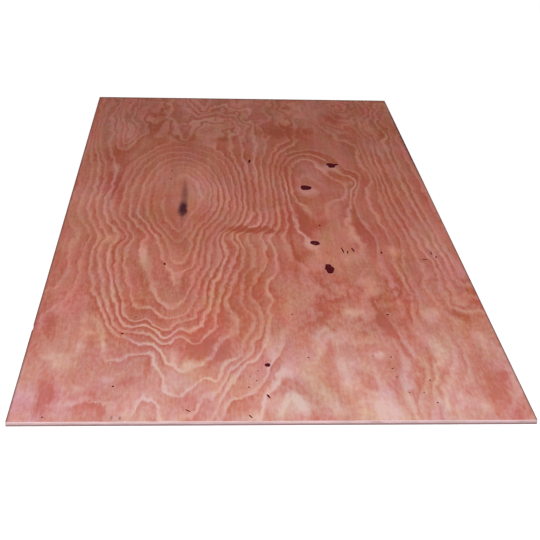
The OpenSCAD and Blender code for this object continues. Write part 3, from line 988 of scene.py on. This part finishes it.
def sinkPit(spot, size, turn, depth, kind, lobes, swell, seed, uneven=0.10, heart=False):
    rings = pitRings[kind]
    half = (size[0] / 2, size[1] / 2)
    around = 2.2 * (size[0] + size[1])
    sectors = max(8, min(40, round(around / (3.0 * mm))))
    angle = math.radians(turn)
    loops = []
    for share, sunk in rings:
        loop = []
        for k in range(sectors):
            way = 2 * math.pi * k / sectors
            bulge = 1 + swell * math.sin(lobes * way + seed)
            bulge += uneven * ripple(1.6 * math.cos(way), 1.6 * math.sin(way), 5.3 * seed + 0.6 * share)
            x = half[0] * share * bulge * math.cos(way)
            y = half[1] * share * bulge * math.sin(way)
            px = spot[0] + x * math.cos(angle) - y * math.sin(angle)
            py = spot[1] + x * math.sin(angle) + y * math.cos(angle)
            floor = depth * sunk * (1 + 0.25 * ripple(300 * px, 300 * py, 2.0)) if sunk else 0.0
            loop.append(addPoint(px, py, faceLevel(px, py) - floor))
        loops.append(loop)
    middle = addPoint(spot[0], spot[1], faceLevel(*spot) - 0.85 * depth)
    for i in range(len(loops) - 1):
        slot = "face" if i == 0 else "heart" if heart and i >= 5 else "knot"
        for k in range(sectors):
            n = (k + 1) % sectors
            addPoly((loops[i][k], loops[i][n], loops[i + 1][n], loops[i + 1][k]), slot, "face")
    for k in range(sectors):
        n = (k + 1) % sectors
        addPoly((loops[-1][k], loops[-1][n], middle), "heart" if heart else "knot", "face")
    return loops[0]


def insideLoop(x, y, loop):
    inside = False
    for k in range(len(loop)):
        ax, ay, _ = points[loop[k]]
        bx, by, _ = points[loop[k - 1]]
        if (ay > y) != (by > y) and x < (bx - ax) * (y - ay) / (by - ay) + ax:
            inside = not inside
    return inside


def loopBox(loop, room):
    xs = [points[i][0] for i in loop]
    ys = [points[i][1] for i in loop]
    return min(xs) - room, max(xs) + room, min(ys) - room, max(ys) + room


def fillFace(rim, holes, grid, level, slot, upward):
    room = 4 * mm
    boxes = [loopBox(hole, room) for hole in holes]
    known = list(rim) + [i for hole in holes for i in hole]
    across = round(2 * halfWide / grid[0])
    down = round(2 * halfLong / grid[1])
    for i in range(1, across):
        for k in range(1, down):
            x = -halfWide + 2 * halfWide * i / across
            y = -halfLong + 2 * halfLong * k / down
            if not any(a < x < b and c < y < d for a, b, c, d in boxes):
                known.append(addPoint(x, y, level(x, y)))
    flat = [Vector(points[i][:2]) for i in known]
    edges = []
    start = 0
    for loop in [rim] + holes:
        edges += [(start + k, start + (k + 1) % len(loop)) for k in range(len(loop))]
        start += len(loop)
    _, _, faces, origin, _, _ = delaunay_2d_cdt(flat, edges, [], 1, 1e-7)
    for face in faces:
        corners = [known[origin[i][0]] for i in face]
        cx = sum(points[i][0] for i in corners) / len(corners)
        cy = sum(points[i][1] for i in corners) / len(corners)
        inHole = any(a < cx < b and c < cy < d and insideLoop(cx, cy, hole)
                     for (a, b, c, d), hole in zip(boxes, holes))
        if not inHole:
            addPoly(corners if upward else corners[::-1], slot, slot)


bakeCharts = {  # bounds in the bake map: left, right, bottom, top
    "face": (0.004, 0.734, 0.004, 0.996), "back": (0.744, 0.924, 0.004, 0.996),
    "front": (0.930, 0.943, 0.004, 0.496), "far": (0.930, 0.943, 0.504, 0.996),
    "left": (0.950, 0.963, 0.004, 0.996), "right": (0.970, 0.983, 0.004, 0.996),
}


def chartPlace(point, chart):
    left, right, bottom, top = bakeCharts[chart]
    x = (point[0] + halfWide) / (2 * halfWide)
    y = (point[1] + halfLong) / (2 * halfLong)
    if chart in ("face", "back"):
        return left + (right - left) * x, bottom + (top - bottom) * y
    outward = abs(point[0]) - halfWide if chart in ("left", "right") else abs(point[1]) - halfLong
    drop = 0.06 + 0.88 * (thick - point[2]) / thick
    fold = 0.06 * max(0.0, min(1.0, -outward / panelBuild["rim"]))
    drop += -fold if point[2] > thick / 2 else fold
    run = x if chart in ("front", "far") else y
    return left + (right - left) * drop, bottom + (top - bottom) * run


def makePanel():
    topRim, bottomRim = makeRim()
    holes = []
    for number, (spot, size, lobes, swell, turned, uneven) in enumerate(deadKnots):
        heart = number == ringedKnot
        holes.append(sinkPit(spot, size, 0, knotDepth, "knot", lobes, swell, turned, uneven, heart))
    for number, (spot, size, turn) in enumerate(grainChecks):
        holes.append(sinkPit(spot, size, turn, 0.8 * mm, "check", 2, 0.08, 11.0 + number))
    for number, (spot, wide) in enumerate(pitchDots):
        holes.append(sinkPit(spot, (wide, 1.2 * wide), 0, 0.6 * mm, "dot", 3, 0.1, 41.0 + number))
    fillFace(topRim, holes, panelBuild["faceGrid"], faceLevel, "face", True)
    fillFace(bottomRim, [], panelBuild["backGrid"], lambda x, y: 0.0, "back", False)
    mesh = bpy.data.meshes.new("plywood_panel")
    mesh.from_pydata(points, [], [corners for corners, _, _ in polys])
    mesh.polygons.foreach_set("material_index", [slot for _, slot, _ in polys])
    dead = knotWood("deadKnot", knotLook["dark"], knotLook["brown"])
    heart = knotWood("knotHeart", knotLook["heartDark"], knotLook["heartPale"])
    for stuff in (faceVeneer(), backVeneer(), plyEdge(), dead, heart):
        mesh.materials.append(stuff)
    bakeMap = mesh.uv_layers.new(name="OFBake")
    spots = [chartPlace(points[i], chart) for corners, _, chart in polys for i in corners]
    bakeMap.data.foreach_set("uv", [number for spot in spots for number in spot])
    mesh.polygons.foreach_set("use_smooth", [True] * len(polys))
    mesh.set_sharp_from_angle(angle=math.radians(32))
    heights, slopes = growthSurface(grainPlaces())
    tones, flushes, warmths = patchSums("toneSpots", "flushSpots", "warmSpots")
    for name, values in (("growthLevel", heights), ("growthSlope", slopes), ("patchTone", tones),
                         ("patchFlush", flushes), ("patchWarmth", warmths)):
        mesh.attributes.new(name, "FLOAT", "POINT").data.foreach_set("value", values)
    mesh.validate()
    panel = bpy.data.objects.new("plywood_panel", mesh)
    bpy.context.scene.collection.objects.link(panel)
    return panel


panel = makePanel()
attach(panel, "root")
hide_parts("plywood_sheet")
print("panel made:", len(points), "points,", len(polys), "faces")


# camera at the photograph's angle

cameraSet = {"place": (-0.163, -3.306, 1.424), "pitch": 26.168, "yaw": -3.823, "roll": 1.911, "lens": 72.96}
camera = bpy.data.objects.new("camera", bpy.data.cameras.new("camera"))
camera.data.lens = cameraSet["lens"]
turn = Matrix.Rotation(math.radians(cameraSet["yaw"]), 4, "Z")
turn = turn @ Matrix.Rotation(math.radians(90 - cameraSet["pitch"]), 4, "X")
turn = turn @ Matrix.Rotation(math.radians(cameraSet["roll"]), 4, "Z")
camera.matrix_world = Matrix.Translation(cameraSet["place"]) @ turn
bpy.context.scene.collection.objects.link(camera)
bpy.context.scene.camera = camera


# pale floor, soft light

studio = {"ambient": 0.60, "floorColour": (0.60, 0.60, 0.60, 1), "floorGlow": 0.62, "floorHalf": 14.0,
          "lampPlace": (-0.3, -3.6, 1.9), "lampAim": (0.0, -0.6, 0.0), "lampSize": 2.2, "lampPower": 95.0}


def seenStraight(tree):  # camera, mirror and glass rays
    path = put(tree, "ShaderNodeLightPath").outputs
    glass = calc(tree, "MAXIMUM", path["Is Glossy Ray"], path["Is Transmission Ray"])
    return calc(tree, "MAXIMUM", path["Is Camera Ray"], glass)


def makeFloor():
    half = studio["floorHalf"]
    mesh = bpy.data.meshes.new("floor")
    corners = [(-half, -half, 0), (half, -half, 0), (half, half, 0), (-half, half, 0)]
    mesh.from_pydata(corners, [], [(0, 1, 2, 3)])
    stuff, tree, shader, _ = newMaterial("paleFloor")
    shader.inputs["Base Color"].default_value = studio["floorColour"]
    shader.inputs["Roughness"].default_value = 1.0
    shader.inputs["Specular IOR Level"].default_value = 0.0
    shader.inputs["Emission Color"].default_value = (1, 1, 1, 1)
    feed(tree, shader.inputs["Emission Strength"], product(tree, seenStraight(tree), studio["floorGlow"]))
    mesh.materials.append(stuff)
    floor = bpy.data.objects.new("floor", mesh)
    floor.location.z = -0.2 * mm
    bpy.context.scene.collection.objects.link(floor)


def makeLight():
    world = bpy.data.worlds.new("studio")
    world.use_nodes = True
    tree = world.node_tree
    background = tree.nodes["Background"]
    background.inputs["Color"].default_value = (1, 1, 1, 1)
    strength = span(tree, seenStraight(tree), 0.0, 1.0, studio["ambient"], 1.0)
    feed(tree, background.inputs["Strength"], strength)
    bpy.context.scene.world = world
    lamp = bpy.data.objects.new("softLamp", bpy.data.lights.new("softLamp", "AREA"))
    lamp.data.size = studio["lampSize"]
    lamp.data.energy = studio["lampPower"]
    lamp.location = studio["lampPlace"]
    aim = Vector(studio["lampAim"]) - Vector(studio["lampPlace"])
    lamp.rotation_euler = aim.to_track_quat("-Z", "Y").to_euler()
    bpy.context.scene.collection.objects.link(lamp)


makeFloor()
makeLight()
bpy.context.scene.view_settings.view_transform = "Standard"
print("floor, light and camera made")
